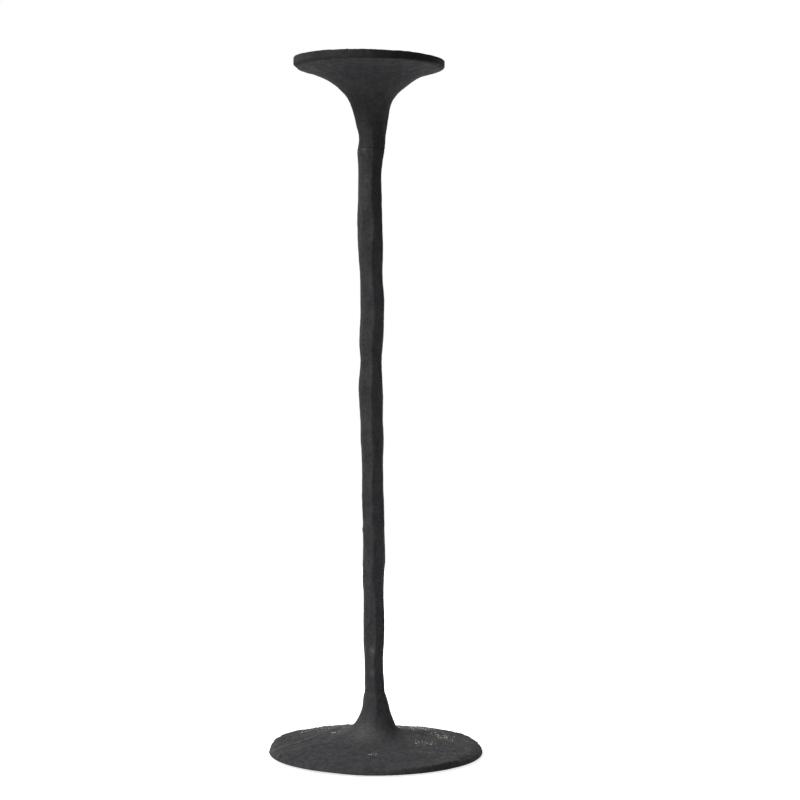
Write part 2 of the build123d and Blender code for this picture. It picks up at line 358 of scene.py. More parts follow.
def black_waxed_cast_iron(settings):
    """Grey cast iron from a sand mould, dressed by hand, heated and rubbed with black wax.

    The eye sees a near-black, almost dull skin: soft grey where the wax is rubbed thin over high spots,
    deeper black in hollows, a fine sandy tooth, and here and there a bare iron grain that glints. Light is
    also painted into the colour: painted shade on shaded sides and in corners, painted light on lit sides,
    a painted sheen behind the neck of the base and near-white painted glints on the bare grains."""
    material, add = new_material("black_waxed_cast_iron")
    place = add("ShaderNodeTexCoord").outputs["Object"]
    tooled = add("ShaderNodeAttribute", attribute_name="tooled").outputs["Vector"]
    rubbed, thick, worn, bare, marked = (
        add("ShaderNodeAttribute", attribute_name=name).outputs["Fac"]
        for name in ("rubbed", "thick", "worn", "bare", "marked")
    )
    # Soft clouds, streaks along the tool marks, sand and scuffs. Moulding sand is about 0.25 mm; drawn
    # 0.7 mm coarse so that it shows.
    cloud, streak, sand, scuff = (
        add(NOISE, dict(zip(("Vector", "Scale", "Detail", "Roughness"), noise))).outputs[0]
        for noise in (
            (place, pattern_scale(13 * MM), 4.0, 0.5),
            (tooled, 1.6, 4.0, 0.6),
            (place, pattern_scale(0.7 * MM), 3.0, 0.6),
            (place, pattern_scale(2.2 * MM), 3.0, 0.5),
        )
    )
    clouds = add(MAP_RANGE, (cloud, 0.33, 0.68, 0.3, 0.7), **SOFT)
    streaks = add(MAP_RANGE, (streak, 0.34, 0.68, -0.4, 0.4), **SOFT)
    clouded = add(MATH, (streaks, marked, clouds), "MULTIPLY_ADD")
    # The rubbed map also paints light on lit sides, and shade where it is below nought
    thin = add(MATH, (clouded, rubbed), "ADD")
    colour = add(MIX, {"Factor": thin, "A": settings.wax, "B": settings.rubbed_wax}, **COLOUR)
    sandy = add(MAP_RANGE, (sand, 0.3, 0.7, 0.8, 1.2), **SOFT)
    scuffed = add(MAP_RANGE, (scuff, 0.35, 0.65, 0.88, 1.12), **SOFT)
    grey = add(MATH, (sandy, scuffed), "MULTIPLY")
    colour = add(VECTOR_MATH, {"Vector": colour, "Scale": grey}, "SCALE")
    patchy = add(MAP_RANGE, (scuff, 0.4, 0.6, 0.25, 1.0), **SOFT)
    grains, lot = bare_grains(add, place, bare)
    shine = add(MATH, (lot.outputs[2], 0.6, 0.4), "MULTIPLY_ADD")
    glint = add(MATH, (grains, shine), "MULTIPLY")
    # Worn almost through, partly painted sheen and highlights; then painted shade; then bare, near-white as
    # painted glints
    for share, part, tone in (
        (worn, patchy, settings.worn_wax),
        (thick, 1.0, settings.thick_wax),
        (glint, 0.95, settings.bare_iron),
    ):
        share = add(MATH, (share, part), "MULTIPLY")
        colour = add(MIX, {"Factor": share, "A": colour, "B": tone}, **COLOUR)
    # A grain is smooth, so it shows most at a low angle
    rough = add(MAP_RANGE, (streak, 0.3, 0.7, 0.88, 0.74), **SOFT)
    fine = add("ShaderNodeBump", {"Strength": 0.7, "Distance": 0.1 * MM, "Height": sand})
    broad = {"Strength": 0.5, "Distance": 0.3 * MM, "Height": streak, "Normal": fine}
    shader = add(
        PRINCIPLED,
        {
            "Base Color": colour,
            "Metallic": add(MATH, (glint, 0.3), "MULTIPLY"),
            "Roughness": add(MATH, (glint, -0.6, rough), "MULTIPLY_ADD"),
            "IOR": 1.22,
            "Specular IOR Level": 0.4,
            "Normal": add("ShaderNodeBump", broad),
        },
    )
    add("ShaderNodeOutputMaterial", {"Surface": shader})
    return material


def bright_zinc_plated_steel(settings):
    """Steel screw stock, rolled and turned, with bright passivated zinc.

    The eye sees a pale, slightly blue metal with a soft blur, cloudy from the plating bath."""
    material, add = new_material("bright_zinc_plated_steel")
    place = add("ShaderNodeTexCoord").outputs["Object"]
    bath = add(NOISE, {"Vector": place, "Scale": pattern_scale(4 * MM), "Detail": 4.0}).outputs[0]
    # Zinc crystals are some 0.05 mm; drawn 0.3 mm coarse so that they show
    crystal = add(CELLS, {"Vector": place, "Scale": pattern_scale(0.3 * MM)})
    facet = add("ShaderNodeSeparateColor", (crystal.outputs["Color"],)).outputs[0]
    cloudy = add(MAP_RANGE, (bath, 0.3, 0.7, 0.82, 1.05), **SOFT)
    blurred = add(MAP_RANGE, (bath, 0.3, 0.7, 0.22, 0.36), **SOFT)
    shader = add(
        PRINCIPLED,
        {
            "Base Color": add(VECTOR_MATH, {"Vector": settings.zinc[:3], "Scale": cloudy}, "SCALE"),
            "Metallic": 1.0,
            "Roughness": add(MATH, (facet, 0.12, blurred), "MULTIPLY_ADD"),
            "Normal": add("ShaderNodeBump", {"Strength": 0.2, "Distance": 0.02 * MM, "Height": facet}),
        },
    )
    add("ShaderNodeOutputMaterial", {"Surface": shader})
    return material


def pressed_wool_felt(settings):
    """Wool fibres matted under steam and punched to discs.

    The eye sees a dull black with a soft pale bloom at a low angle and a tangle of fine fibres."""
    material, add = new_material("pressed_wool_felt")
    place = add("ShaderNodeTexCoord").outputs["Object"]
    # Wool fibres are some 0.03 mm; drawn 0.35 mm coarse so that they show
    fibres = {"Vector": place, "Scale": pattern_scale(0.35 * MM), "Detail": 5.0, "Distortion": 2.5}
    tangle = add(NOISE, fibres).outputs[0]
    uneven = add(MAP_RANGE, (tangle, 0.3, 0.7, 0.6, 1.9), **SOFT)
    shader = add(
        PRINCIPLED,
        {
            "Base Color": add(VECTOR_MATH, {"Vector": settings.felt[:3], "Scale": uneven}, "SCALE"),
            "Roughness": 0.95,
            "Specular IOR Level": 0.2,
            "Sheen Weight": 0.25,
            "Sheen Roughness": 0.5,
            "Normal": add("ShaderNodeBump", {"Strength": 0.8, "Distance": 0.12 * MM, "Height": tangle}),
        },
    )
    add("ShaderNodeOutputMaterial", {"Surface": shader})
    return material


# Meshes


def bake(piece):
    """Turns a piece and its modifiers into a plain mesh."""
    graph = bpy.context.evaluated_depsgraph_get()
    mesh = bpy.data.meshes.new_from_object(
        piece.evaluated_get(graph), preserve_all_data_layers=True, depsgraph=graph
    )
    raw = piece.data
    piece.modifiers.clear()
    piece.data = mesh
    bpy.data.meshes.remove(raw)


def run_tree(piece, tree, values):
    """Runs a Geometry Nodes tree over a piece, with its named inputs set, and keeps the result."""
    modifier = piece.modifiers.new(tree.name, "NODES")
    modifier.node_group = tree
    for item in tree.interface.items_tree:
        if item.name in values:
            modifier[item.identifier] = values[item.name]
    bake(piece)


def show(name, data):
    """Puts a mesh, a lamp or a camera in the scene."""
    holder = bpy.data.objects.new(name, data)
    bpy.context.scene.collection.objects.link(holder)
    return holder


def even_copy(node, name):
    """A closed, evenly meshed copy of a node, with its sharp edges eased as a casting's are."""
    mesh = frame["nodes"][node].data.copy()
    work = bmesh.new()
    work.from_mesh(mesh)
    bmesh.ops.remove_doubles(work, verts=work.verts, dist=0.001 * MM)
    work.to_mesh(mesh)
    work.free()
    mesh.materials.clear()
    piece = show(name, mesh)
    remesh = piece.modifiers.new("even", "REMESH")
    remesh.mode = "VOXEL"
    remesh.voxel_size = MESH_WIDTHS[node]
    remesh.use_smooth_shade = True
    ease = piece.modifiers.new("ease", "SMOOTH")
    ease.factor = 0.5
    ease.iterations = 2
    bake(piece)
    return piece


def points_of(mesh):
    flat = np.empty(len(mesh.vertices) * 3, np.float32)
    mesh.vertices.foreach_get("co", flat)
    return flat.reshape(-1, 3).astype(float)


def put(mesh, **maps):
    """Stores maps on a mesh, each a number or a vector for every point."""
    for name, values in maps.items():
        values = np.asarray(values, np.float32)
        kind, field = ("FLOAT_VECTOR", "vector") if values.ndim == 2 else ("FLOAT", "value")
        mesh.attributes.new(name, kind, "POINT").data.foreach_set(field, values.ravel())


def facing_up(mesh):
    """One where a mesh faces up, nought where it faces sideways or down."""
    mesh.update()
    normals = np.empty(len(mesh.vertices) * 3, np.float32)
    mesh.vertex_normals.foreach_get("vector", normals)
    return ease_in(normals.reshape(-1, 3)[:, 2].astype(float), 0.1, 0.4)


def ease_in(values, start, end):
    """Nought before start, one after end, and smooth between."""
    share = np.clip((values - start) / (end - start), 0, 1)
    return share * share * (3 - 2 * share)


def bell(values, middle, width):
    return np.exp(-(((values - middle) / width) ** 2))


def around(angles, middle):
    """Angles measured from a middle direction, from -pi to pi."""
    return (angles - middle + math.pi) % math.tau - math.pi


def directions(angles):
    return np.stack([np.cos(angles), np.sin(angles)], 1)


def sector(turn, start, full, fading, end):
    """One over a sector of directions and nought outside it, with soft sides given in degrees."""
    opening = ease_in(turn, math.radians(start), math.radians(full))
    return opening * (1 - ease_in(turn, math.radians(fading), math.radians(end)))


def off_joints(distance, to_end):
    """Nought in the screw holes and at the ends, where the castings meet, and one elsewhere."""
    return ease_in(distance, 4.5 * MM, 5 * MM) * ease_in(to_end, 0.1 * MM, 0.8 * MM)


def middle_line(points, low, high, step=2 * MM):
    """Middle of the outline at each height between low and high, as a function of height."""
    heights = np.arange(low + step, high, step)
    slices = [points[np.abs(points[:, 2] - height) < step] for height in heights]
    middles = np.array([(cut[:, :2].min(0) + cut[:, :2].max(0)) / 2 for cut in slices])
    return lambda z: np.stack([np.interp(z, heights, middles[:, axis]) for axis in (0, 1)], 1)


# How wide the mesh of each casting is, fine enough for its skin and under 200,000 triangles
MESH_WIDTHS = {"base": 0.72 * MM, "stem": 0.53 * MM, "pan": 0.58 * MM}
# Where the ridge between the two flats at the front stands, as the viewer sees it: height in
# millimetres and share of the width from the left edge
RIDGE_PATH = (
    (40, 0.54), (55, 0.50), (83, 0.60), (112, 0.60),
    (127, 0.46), (184, 0.46), (220, 0.54), (242, 0.50),
    (271, 0.56), (329, 0.60), (343, 0.53), (386, 0.67),
    (401, 0.55), (430, 0.64), (444, 0.50), (459, 0.39),
)
# Uneven edges of the base and the pan: direction and spread in degrees, rise and reach in millimetres
BASE_EDGE = (
    (-45, 38, 1.4, 0.2),
    (150, 40, 0.85, 0.4),
    (35, 22, 0.7, 0.2),
    (185, 45, 0.0, 0.1),
    (4, 15, 0.0, -0.3),
)
PAN_EDGE = ((180, 35, 0.8, 0.0), (0, 35, 0.2, 0.0))
# Waves round an edge: how many, where they start, and their share
BASE_WAVES = ((7, 1.0, 1.0), (13, 0.0, 0.6), (23, 2.0, 0.4))
PAN_WAVES = ((5, 0.4, 1.0), (11, 0.0, 0.7), (17, 1.0, 0.5))
# Stretches of the base's edge, as directions in degrees from the viewer's right: where one starts, is
# full, starts to fade and ends
SHARP_SIDE = (-86, -60, 0, 30)
FALLING_TIP = (-48, -32, 8, 30)
HANGING_FRONT = (-119, -93, 0, 20)
# What easing the mesh takes off the base's radius
EASED_EDGE = 0.3 * MM
# Long soft folds on the base: start, middle and end of each line as x and y, width and height, all
# in millimetres. The first sweeps from the left edge round the back of the neck.
FOLDS = (
    ((-76, -19), (-40, -16), (-22, 55), 2.4, 0.95),
    ((-73, 16), (-50, 16), (-36, 56), 2.4, 0.7),
    ((-70, -31), (-52, -30), (-30, -14), 2.0, 0.5),
    ((-70, 2), (-52, 3), (-38, 22), 1.8, 0.4),
    ((26, 20), (45, 12), (64, -14), 2.2, 0.45),
    ((30, 34), (52, 22), (70, 2), 2.0, 0.45),
    ((20, -40), (40, -42), (62, -32), 2.0, 0.4),
)
# Worn places on the base: x, y and reach in millimetres, then the shares of bare grains, of wax that
# is worn almost through and of wax that is only rubbed. The worn shares behind the neck and at the right
# are mostly a painted sheen, the rubbed shares round the foot of the neck are painted light, and the one
# below nought is painted shade.
WORN_PLACES = (
    (32, 46, 12, 1.0, 1.1, 0.0),
    (22, 56, 9, 0.7, 1.0, 0.0),
    (49, 14, 8, 1.0, 0.3, 0.0),
    (34, -16, 6, 1.0, 0.2, 0.0),
    (-42, 44, 14, 0.35, 0.7, 0.0),
    (-53, 28, 3, 1.0, 0.3, 0.0),
    (-30, 4, 3, 1.0, 0.0, 0.0),
    (-2, -48, 3.5, 1.0, 0.2, 0.0),
    (-25, 42, 10, 0.05, 1.5, 0.0),
    (46, 6, 30, 0.0, 0.25, 0.0),
    (-8, -17, 10, 0.0, 0.0, 1.6),
    (-22, -2, 9, 0.0, 0.0, 0.8),
    (12, -17, 7, 0.0, 0.0, -0.6),
)
# Small marks on the stem: direction in degrees, height, reach and rise in millimetres, and how much
# the wax is rubbed there. The light mark just under the joint to the pan is a painted highlight.
STEM_MARKS = (
    (180, 162.7, 2.2, 0.5, 0.0),
    (-117, 269.5, 1.3, -0.5, 0.0),
    (-90, 373.4, 1.4, -0.5, 0.0),
    (-97, 75.4, 2.4, 0.15, 2.2),
    (-100, 59.5, 2.0, 0.1, 1.6),
    (-121, 435.6, 1.6, 0.1, 2.4),
)
# Flats round a bar: how many, how far out they lie and how much that changes, how far out the corners
# between them reach, and how soft they are, all as shares of the bar's radius
FLATS = 6
FLAT_DEPTH = 0.905
FLAT_DEPTH_CHANGE = 0.035
CORNER_REACH = 1.025
CORNER_SOFTNESS = 0.012
# What easing the mesh and working the flats take off a bar's radius
BAR_GAIN = 0.27 * MM


def wander(height, length, start):
    """A slow, uneven wave along the stem, between about -1 and 1."""
    turn = height / length * math.tau
    return 0.6 * np.sin(turn + start) + 0.4 * np.sin(1.73 * turn + 2.1 * start)


def flatted(turn, height):
    """Radius of a round bar with flats worked along it, as a share of its own radius.

    Each flat is a plane cut a little off the round, whose direction and depth wander with the height.
    The outline that the viewer sees from the front stays almost as it is."""
    seen = np.interp(height, [z * MM for z, share in RIDGE_PATH], [share for z, share in RIDGE_PATH])
    ridge = -math.pi / 2 + np.arcsin(2 * seen - 1)
    total = np.exp(-CORNER_REACH / CORNER_SOFTNESS) * np.ones_like(turn)
    for flat in range(FLATS):
        drift = 0.0 if flat in (0, FLATS - 1) else 0.14 * wander(height, 83 * MM, flat)
        middle = ridge + (flat + 0.5) * math.tau / FLATS + drift
        depth = FLAT_DEPTH + FLAT_DEPTH_CHANGE * wander(height, 57 * MM, 2 + flat)
        facing = np.cos(around(turn, middle))
        reach = np.where(facing > 0.2, depth / np.maximum(facing, 0.2), 10.0)
        total += np.exp(-reach / CORNER_SOFTNESS)
    radius = -CORNER_SOFTNESS * np.log(total)
    side_on = np.cos(turn) ** 6
    return 1 + (radius - 1) * (1 - 0.85 * side_on)


def uneven_edge(turn, places, waves, wave_height):
    """Rise and reach of an uneven edge in each direction."""
    rise = wave_height * sum(share * np.sin(count * turn + start) for count, start, share in waves)
    reach = np.zeros_like(turn)
    for direction, spread, up, out in places:
        share = bell(around(turn, math.radians(direction)), 0, math.radians(spread))
        rise += up * MM * share
        reach += out * MM * share
    return rise, reach


def fold_height(x, y, start, middle, end, width, height):
    """Height of one long soft fold, whose line bends from its start to its end."""
    start, middle, end = np.array(start), np.array(middle), np.array(end)
    away = np.full_like(x, np.inf)
    for share in np.linspace(0, 1, 50):
        near = (1 - share) ** 2 * start + 2 * share * (1 - share) * middle + share**2 * end
        away = np.minimum(away, np.hypot(x - near[0] * MM, y - near[1] * MM))
    return height * MM * bell(away, 0, width * MM)


def off_middle(points, middle):
    """How each point lies off a middle line: as a vector, a direction and a distance."""
    out = points[:, :2] - middle(points[:, 2])
    return out, np.arctan2(out[:, 1], out[:, 0]), np.hypot(out[:, 0], out[:, 1])


def worked_bar(points, middle, strength):
    """Offsets that work flats into the outside of a bar, and the turn and distance of each point."""
    out, turn, distance = off_middle(points, middle)
    # The screw holes inside keep their round
    solid = ease_in(distance, 4.6 * MM, 6.2 * MM)
    share = (flatted(turn, points[:, 2]) - 1) * strength + BAR_GAIN / np.maximum(distance, 1 * MM)
    offsets = np.zeros_like(points)
    offsets[:, :2] = out * (share * solid)[:, None]
    return offsets, turn, distance


def crisp_end(piece, middle, end, depth=1.0 * MM):
    """Takes the eased edge off a flat end, so that the joint to the next casting is a hairline."""
    points = points_of(piece.data)
    out, turn, distance = off_middle(points, middle)
    away = np.abs(points[:, 2] - end)
    wall = (away > depth) & (away < 1.8 * depth) & (distance > 5.5 * MM)
    order = np.argsort(turn[wall])
    full = np.interp(turn, turn[wall][order], distance[wall][order], period=math.tau)
    edge = (away <= depth) & (distance > full - 0.45 * MM)
    points[edge, :2] += out[edge] * (full[edge] / distance[edge] - 1)[:, None]
    points[edge & (away < 0.45 * MM), 2] = end
    piece.data.vertices.foreach_set("co", points.astype(np.float32).ravel())
    # The end itself is flat, so no shade runs over the edge
    faces = piece.data.polygons
    centres, normals = np.empty(len(faces) * 3), np.empty(len(faces) * 3)
    faces.foreach_get("center", centres)
    faces.foreach_get("normal", normals)
    on_end = np.abs(centres.reshape(-1, 3)[:, 2] - end) < 0.3 * MM
    level = np.abs(normals.reshape(-1, 3)[:, 2]) > 0.8
    faces.foreach_set("use_smooth", ~(on_end & level))


def give_skin(piece, settings, wave=0.0, dent=0.0):
    """Gives a casting its skin, by its maps, and its black wax."""
    values = {name: getattr(settings, name.lower().replace(" ", "_")) for name in SKIN_SIZES}
    values |= {"Tool mark height": wave, "Dent depth": dent}
    values["Material"] = made_once(bpy.data.materials, black_waxed_cast_iron, settings)
    run_tree(piece, made_once(bpy.data.node_groups, cast_skin), values)


def hand_over(piece, slot, *nodes):
    """Makes a finished piece part of the stand."""
    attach(piece, "root")
    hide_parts(*nodes)


# Operators


class CANDLE_OT_base(bpy.types.Operator):
    """Make the round base with its neck"""

    bl_idname = "candle_stand.base"
    bl_label = "Base casting"

    def execute(self, context):
        settings = context.scene.candle_casting
        piece = even_copy("base", "base_casting")
        points = points_of(piece.data)
        x, y, z = points.T
        radius, turn = np.hypot(x, y), np.arctan2(y, x)
        neck = middle_line(points, 14 * MM, BASE_HIGH.z)
        crisp_end(piece, neck, BASE_HIGH.z)
        points = points_of(piece.data)
        up = z - BASE_LOW.z
        above = ease_in(up, 1.2 * MM, 2.4 * MM)
        worked, _, neck_distance = worked_bar(points, neck, ease_in(z, 20 * MM, 40 * MM))
        rise, reach = uneven_edge(turn, BASE_EDGE, BASE_WAVES, 0.2 * MM)
        outer = ease_in(radius, 62 * MM, 74 * MM)
        worked[:, 2] += rise * outer * above
        worked[:, :2] += points[:, :2] * ((reach + EASED_EDGE) * outer / np.maximum(radius, 1 * MM))[:, None]
        # At the front left the edge is rolled over
        rolled = 1 - ease_in(np.abs(around(turn, math.radians(-135))), math.radians(40), math.radians(66))
        bend = np.clip((radius - 70 * MM) / (6.8 * MM), 0, 1)
        worked[:, 2] -= 0.85 * up * rolled * (1 - np.sqrt(1 - bend**2))
        # From the front round to the right it is sharp, and at the right tip it falls away
        sharp, tip, front = (sector(turn, *sides) for sides in (SHARP_SIDE, FALLING_TIP, HANGING_FRONT))
        fall = np.clip((radius - 68.5 * MM) / (8.5 * MM), 0, 1)
        worked[:, 2] -= 0.45 * up * tip * fall**2
        crest = sharp * (1 - tip)
        worked[:, 2] += 0.35 * MM * crest * bell(radius, 74.6 * MM, 1.3 * MM) * above
        # The lower edge hangs lower at the front
        lower_edge = ease_in(radius, 73 * MM, 76.5 * MM) * (1 - ease_in(up, 0, 2 * MM))
        worked[:, 2] += (0.5 - 0.8 * front) * MM * lower_edge
        ridges = sum(fold_height(x, y, *fold) for fold in FOLDS)
        worked[:, 2] += ridges * above
        # Wax is worn off the sharp edge, whose lighter top is also a painted highlight, and rubbed off the
        # ridges first
        shares = np.zeros((3, len(points)))
        for place_x, place_y, spread, *share in WORN_PLACES:
            shares += np.outer(share, bell(np.hypot(x - place_x * MM, y - place_y * MM), 0, spread * MM))
        bare, worn, rubbed = shares * (1 - ease_in(z, 18 * MM, 30 * MM))
        worn += 0.5 * crest * bell(radius, 74.8 * MM, 0.8 * MM) + 0.35 * ridges / MM
        rubbed += 0.9 * ridges / MM
        top = above * facing_up(piece.data)
        inward = 75.6 * MM - 4.2 * MM * tip
        put(
            piece.data,
            worked=worked,
            tooled=points / (7 * MM),
            marked=above * ease_in(radius, 13 * MM, 34 * MM) * (0.4 + 0.6 * np.cos(turn) ** 2),
            free=(0.15 + 0.85 * above) * off_joints(neck_distance, BASE_HIGH.z - z),
            # Painted shade: the shaded right front of the edge gets the darker wax colour
            thick=0.45 * sharp * ease_in(radius, inward, inward + 0.8 * MM),
            bare=np.clip(bare, 0, 1) * top,
            worn=np.clip(worn, 0, 1.6) * top,
            rubbed=rubbed * top,
        )
        give_skin(piece, settings, wave=settings.mould_wave)
        hand_over(piece, "black_iron", "base")
        return {"FINISHED"}


class CANDLE_OT_stem(bpy.types.Operator):
    """Make the hand-worked stem"""

    bl_idname = "candle_stand.stem"
    bl_label = "Stem"

    def execute(self, context):
        settings = context.scene.candle_casting
        piece = even_copy("stem", "worked_stem")
        middle = middle_line(points_of(piece.data), STEM_LOW.z, STEM_HIGH.z)
        for end in (STEM_LOW.z, STEM_HIGH.z):
            crisp_end(piece, middle, end)
        points = points_of(piece.data)
        z = points[:, 2]
        worked, turn, distance = worked_bar(points, middle, 1.0)
        outward = directions(turn)
        # Near the head the lit left side is drawn lighter as painted light, and the shaded right side darker
        # as painted shade
        near_head, to_right = ease_in(z, 350 * MM, 400 * MM), np.cos(turn)
        rubbed = 0.5 * near_head * ease_in(-to_right, 0, 0.5)
        for direction, height, reach, rise, rubbed_share in STEM_MARKS:
            across = distance * around(turn, math.radians(direction))
            share = bell(np.hypot(across, z - height * MM), 0, reach * MM)
            worked[:, :2] += outward * (rise * MM * share)[:, None]
            rubbed += rubbed_share * share
        ends = np.minimum(z - STEM_LOW.z, STEM_HIGH.z - z)
        put(
            piece.data,
            worked=worked,
            # Hammer marks some 8 mm wide and 20 mm long
            tooled=np.column_stack([outward, z / (20 * MM)]),
            marked=0.6 * ease_in(ends, 0.5 * MM, 5 * MM),
            free=off_joints(distance, ends),
            # Painted shade on the right side near the head
            thick=0.4 * near_head * ease_in(to_right, 0, 0.5),
            bare=np.zeros(len(z)),
            worn=np.zeros(len(z)),
            rubbed=rubbed,
        )
        give_skin(piece, settings, dent=settings.stem_dent)
        hand_over(piece, "black_iron", "stem")
        return {"FINISHED"}


class CANDLE_OT_pan(bpy.types.Operator):
    """Make the flared pan with its neck"""

    bl_idname = "candle_stand.pan"
    bl_label = "Pan casting"

    def execute(self, context):
        settings = context.scene.candle_casting
        piece = even_copy("pan", "pan_casting")
        points = points_of(piece.data)
        x, y, z = points.T
        neck = middle_line(points, PAN_LOW.z, PAN_LOW.z + 35 * MM)
        crisp_end(piece, neck, PAN_LOW.z)
        points = points_of(piece.data)
        fade = 1 - ease_in(z, PAN_LOW.z + 8 * MM, PAN_LOW.z + 40 * MM)
        worked, neck_turn, neck_distance = worked_bar(points, neck, fade)
        seat = MOUNTS["candle_seat"]["pos_m"]
        radius, turn = np.hypot(x - seat[0], y - seat[1]), np.arctan2(y - seat[1], x - seat[0])
        edge = ease_in(radius, 50 * MM, 53 * MM)
        rise, reach = uneven_edge(turn, PAN_EDGE, PAN_WAVES, 0.06 * MM)
        depth = PAN_HIGH.z - 0.6 * MM * (1 + np.cos(turn) * radius / (54 * MM)) - z
        worked[:, 2] += (rise + 0.2 * MM) * edge
        worked[:, :2] += directions(turn) * ((reach + 0.2 * MM) * edge)[:, None]
        # The wall's lower corner hangs a little, and the flare leans to the left under it
        hang = 1.3 * MM * (1 - 0.8 * np.cos(turn) ** 2)
        worked[:, 2] -= hang * ease_in(radius, 51.8 * MM, 53.2 * MM) * ease_in(depth, 1 * MM, 4.4 * MM)
        worked[:, 0] -= 1.5 * MM * bell(z, 491 * MM, 4.5 * MM) * (1 - edge)
        # The floor of the dish stays level enough to seat a candle
        floor = ease_in(seat[2] + 0.6 * MM - z, 0, 0.4 * MM)
        floor *= ease_in(z, seat[2] - 1 * MM, seat[2] - 0.6 * MM)
        # Painted shade: the wall is drawn darker all round and more towards its shaded right, the corner
        # under it gets a painted shadow, and the neck's right side painted shade
        wall = ease_in(radius, 52.9 * MM, 53.5 * MM) * (0.2 + 0.8 * ease_in(np.cos(turn), -0.45, 0.75))
        corner = 0.9 * bell(radius, 52.2 * MM, 0.8 * MM) * ease_in(depth, 3.4 * MM, 4.4 * MM)
        neck_side = 0.4 * fade * ease_in(np.cos(neck_turn), 0, 0.5)
        # It is a little worn along the top edge; one spot at the front is drawn worn through with bare
        # grains as a painted highlight
        top_edge = bell(radius, 53.2 * MM, 0.7 * MM) * (1 - ease_in(depth, 0.2 * MM, 0.9 * MM))
        spot = top_edge * bell(around(turn, math.radians(-105)), 0, math.radians(7))
        put(
            piece.data,
            worked=worked,
            tooled=points / (9 * MM),
            marked=0.35 * ease_in(z, PAN_LOW.z, PAN_LOW.z + 10 * MM),
            free=(1 - 0.65 * floor) * off_joints(neck_distance, z - PAN_LOW.z),
            thick=np.clip(wall + corner + neck_side, 0, 1),
            bare=spot,
            worn=np.clip(0.15 * top_edge + spot, 0, 1),
            # Painted light on the lit left side of the neck
            rubbed=0.5 * fade * ease_in(-np.cos(neck_turn), 0, 0.5),
        )
        give_skin(piece, settings, wave=settings.mould_wave)
        hand_over(piece, "black_iron", "pan")
        return {"FINISHED"}


def rod_rows(low, high, radius, step, chamfer=0.6 * MM):
    """Rows of a chamfered rod, as height and radius, the first and last on its axis."""
    count = round((high - low - 2 * chamfer) / step)
    rows = [(low, 0.0), (low, radius - chamfer)]
    rows += [(low + chamfer + (high - low - 2 * chamfer) * i / count, radius) for i in range(count + 1)]
    return rows + [(high, radius - chamfer), (high, 0.0)]


def turned_mesh(name, rows, middle, sides=48):
    """A closed mesh of rows round an upright axis. A row's radius is a number or a function of angle."""
    work = bmesh.new()
    rings = []
    for height, radius in rows:
        ring = []
        for side in range(sides if radius else 1):
            angle = math.tau * side / sides
            reach, drop = radius(angle) if callable(radius) else (radius, 0.0)
            x, y = middle.x + reach * math.cos(angle), middle.y + reach * math.sin(angle)
            ring.append(work.verts.new((x, y, height + drop)))
        rings.append(ring)
    # A row on the axis is one point, so the faces at it have three corners
    for low, high in zip(rings, rings[1:]):
        for side in range(sides):
            after = (side + 1) % sides
            corners = [low[side % len(low)], low[after % len(low)]]
            corners += [high[after % len(high)], high[side % len(high)]]
            work.faces.new(tuple(dict.fromkeys(corners)))
    mesh = bpy.data.meshes.new(name)
    bmesh.ops.recalc_face_normals(work, faces=work.faces)
    work.to_mesh(mesh)
    work.free()
    return show(name, mesh)


class CANDLE_OT_screws(bpy.types.Operator):
    """Make the bolt and the stud with their rolled threads, and plate the washers"""

    bl_idname = "candle_stand.screws"
    bl_label = "Screws and washers"

    def execute(self, context):
        settings = context.scene.candle_hardware
        zinc = made_once(bpy.data.materials, bright_zinc_plated_steel, settings)
        thread = made_once(bpy.data.node_groups, rolled_thread)
        # The crest of the thread stays a hair inside the plain rod of the solids
        radius = (STUD_HIGH.x - STUD_LOW.x) / 2 - 0.03 * MM
        step = settings.pitch / 9
        values = {"Pitch": settings.pitch, "Depth": settings.thread_depth, "Material": zinc}

        middle = (STUD_LOW + STUD_HIGH) / 2
        stud = turned_mesh("threaded_stud", rod_rows(STUD_LOW.z, STUD_HIGH.z, radius, step), middle)
        ends = {"Start": STUD_LOW.z, "End": STUD_HIGH.z, "Axis x": middle.x}
        run_tree(stud, thread, values | ends)
        hand_over(stud, "zinc_steel", "top_stud")

        # Hexagon head, its outer face chamfered at 30 degrees, then the plain shank and the thread
        middle = (BOLT_LOW + BOLT_HIGH) / 2
        flat = (BOLT_HIGH.y - BOLT_LOW.y) / 2
        head_height = 5.3 * MM
        crown = 0.94 * flat

        def hexagon(angle):
            return flat / math.cos(angle % (math.pi / 3) - math.pi / 6)

        def chamfered(angle):
            reach = hexagon(angle)
            return reach, (reach - crown) * math.tan(math.radians(30))

        def straight(angle):
            return hexagon(angle), 0.0

        low, bearing = BOLT_LOW.z, BOLT_LOW.z + head_height
        thread_start = BOLT_HIGH.z - settings.bolt_thread
        rows = [(low, 0.0), (low, crown), (low, chamfered), (bearing - 0.3 * MM, straight)]
        rows += [(bearing - 0.25 * MM, 0.93 * flat), (bearing, 0.9 * flat), (bearing, radius + 0.3 * MM)]
        rows += [(bearing + 0.3 * MM, radius)]
        rows += rod_rows(thread_start, BOLT_HIGH.z, radius, step)[2:]
        bolt = turned_mesh("hexagon_bolt", rows, middle)
        ends = {"Start": thread_start, "End": BOLT_HIGH.z, "Axis x": middle.x}
        run_tree(bolt, thread, values | ends)
        hand_over(bolt, "zinc_steel", "base_bolt")

        for name in ("base_washer", "spring_washer"):
            materials = frame["nodes"][name].data.materials
            materials.clear()
            materials.append(zinc)
        return {"FINISHED"}


# Loose fibres on a square metre of cut edge
FIBRES_PER_AREA = 6.0e6


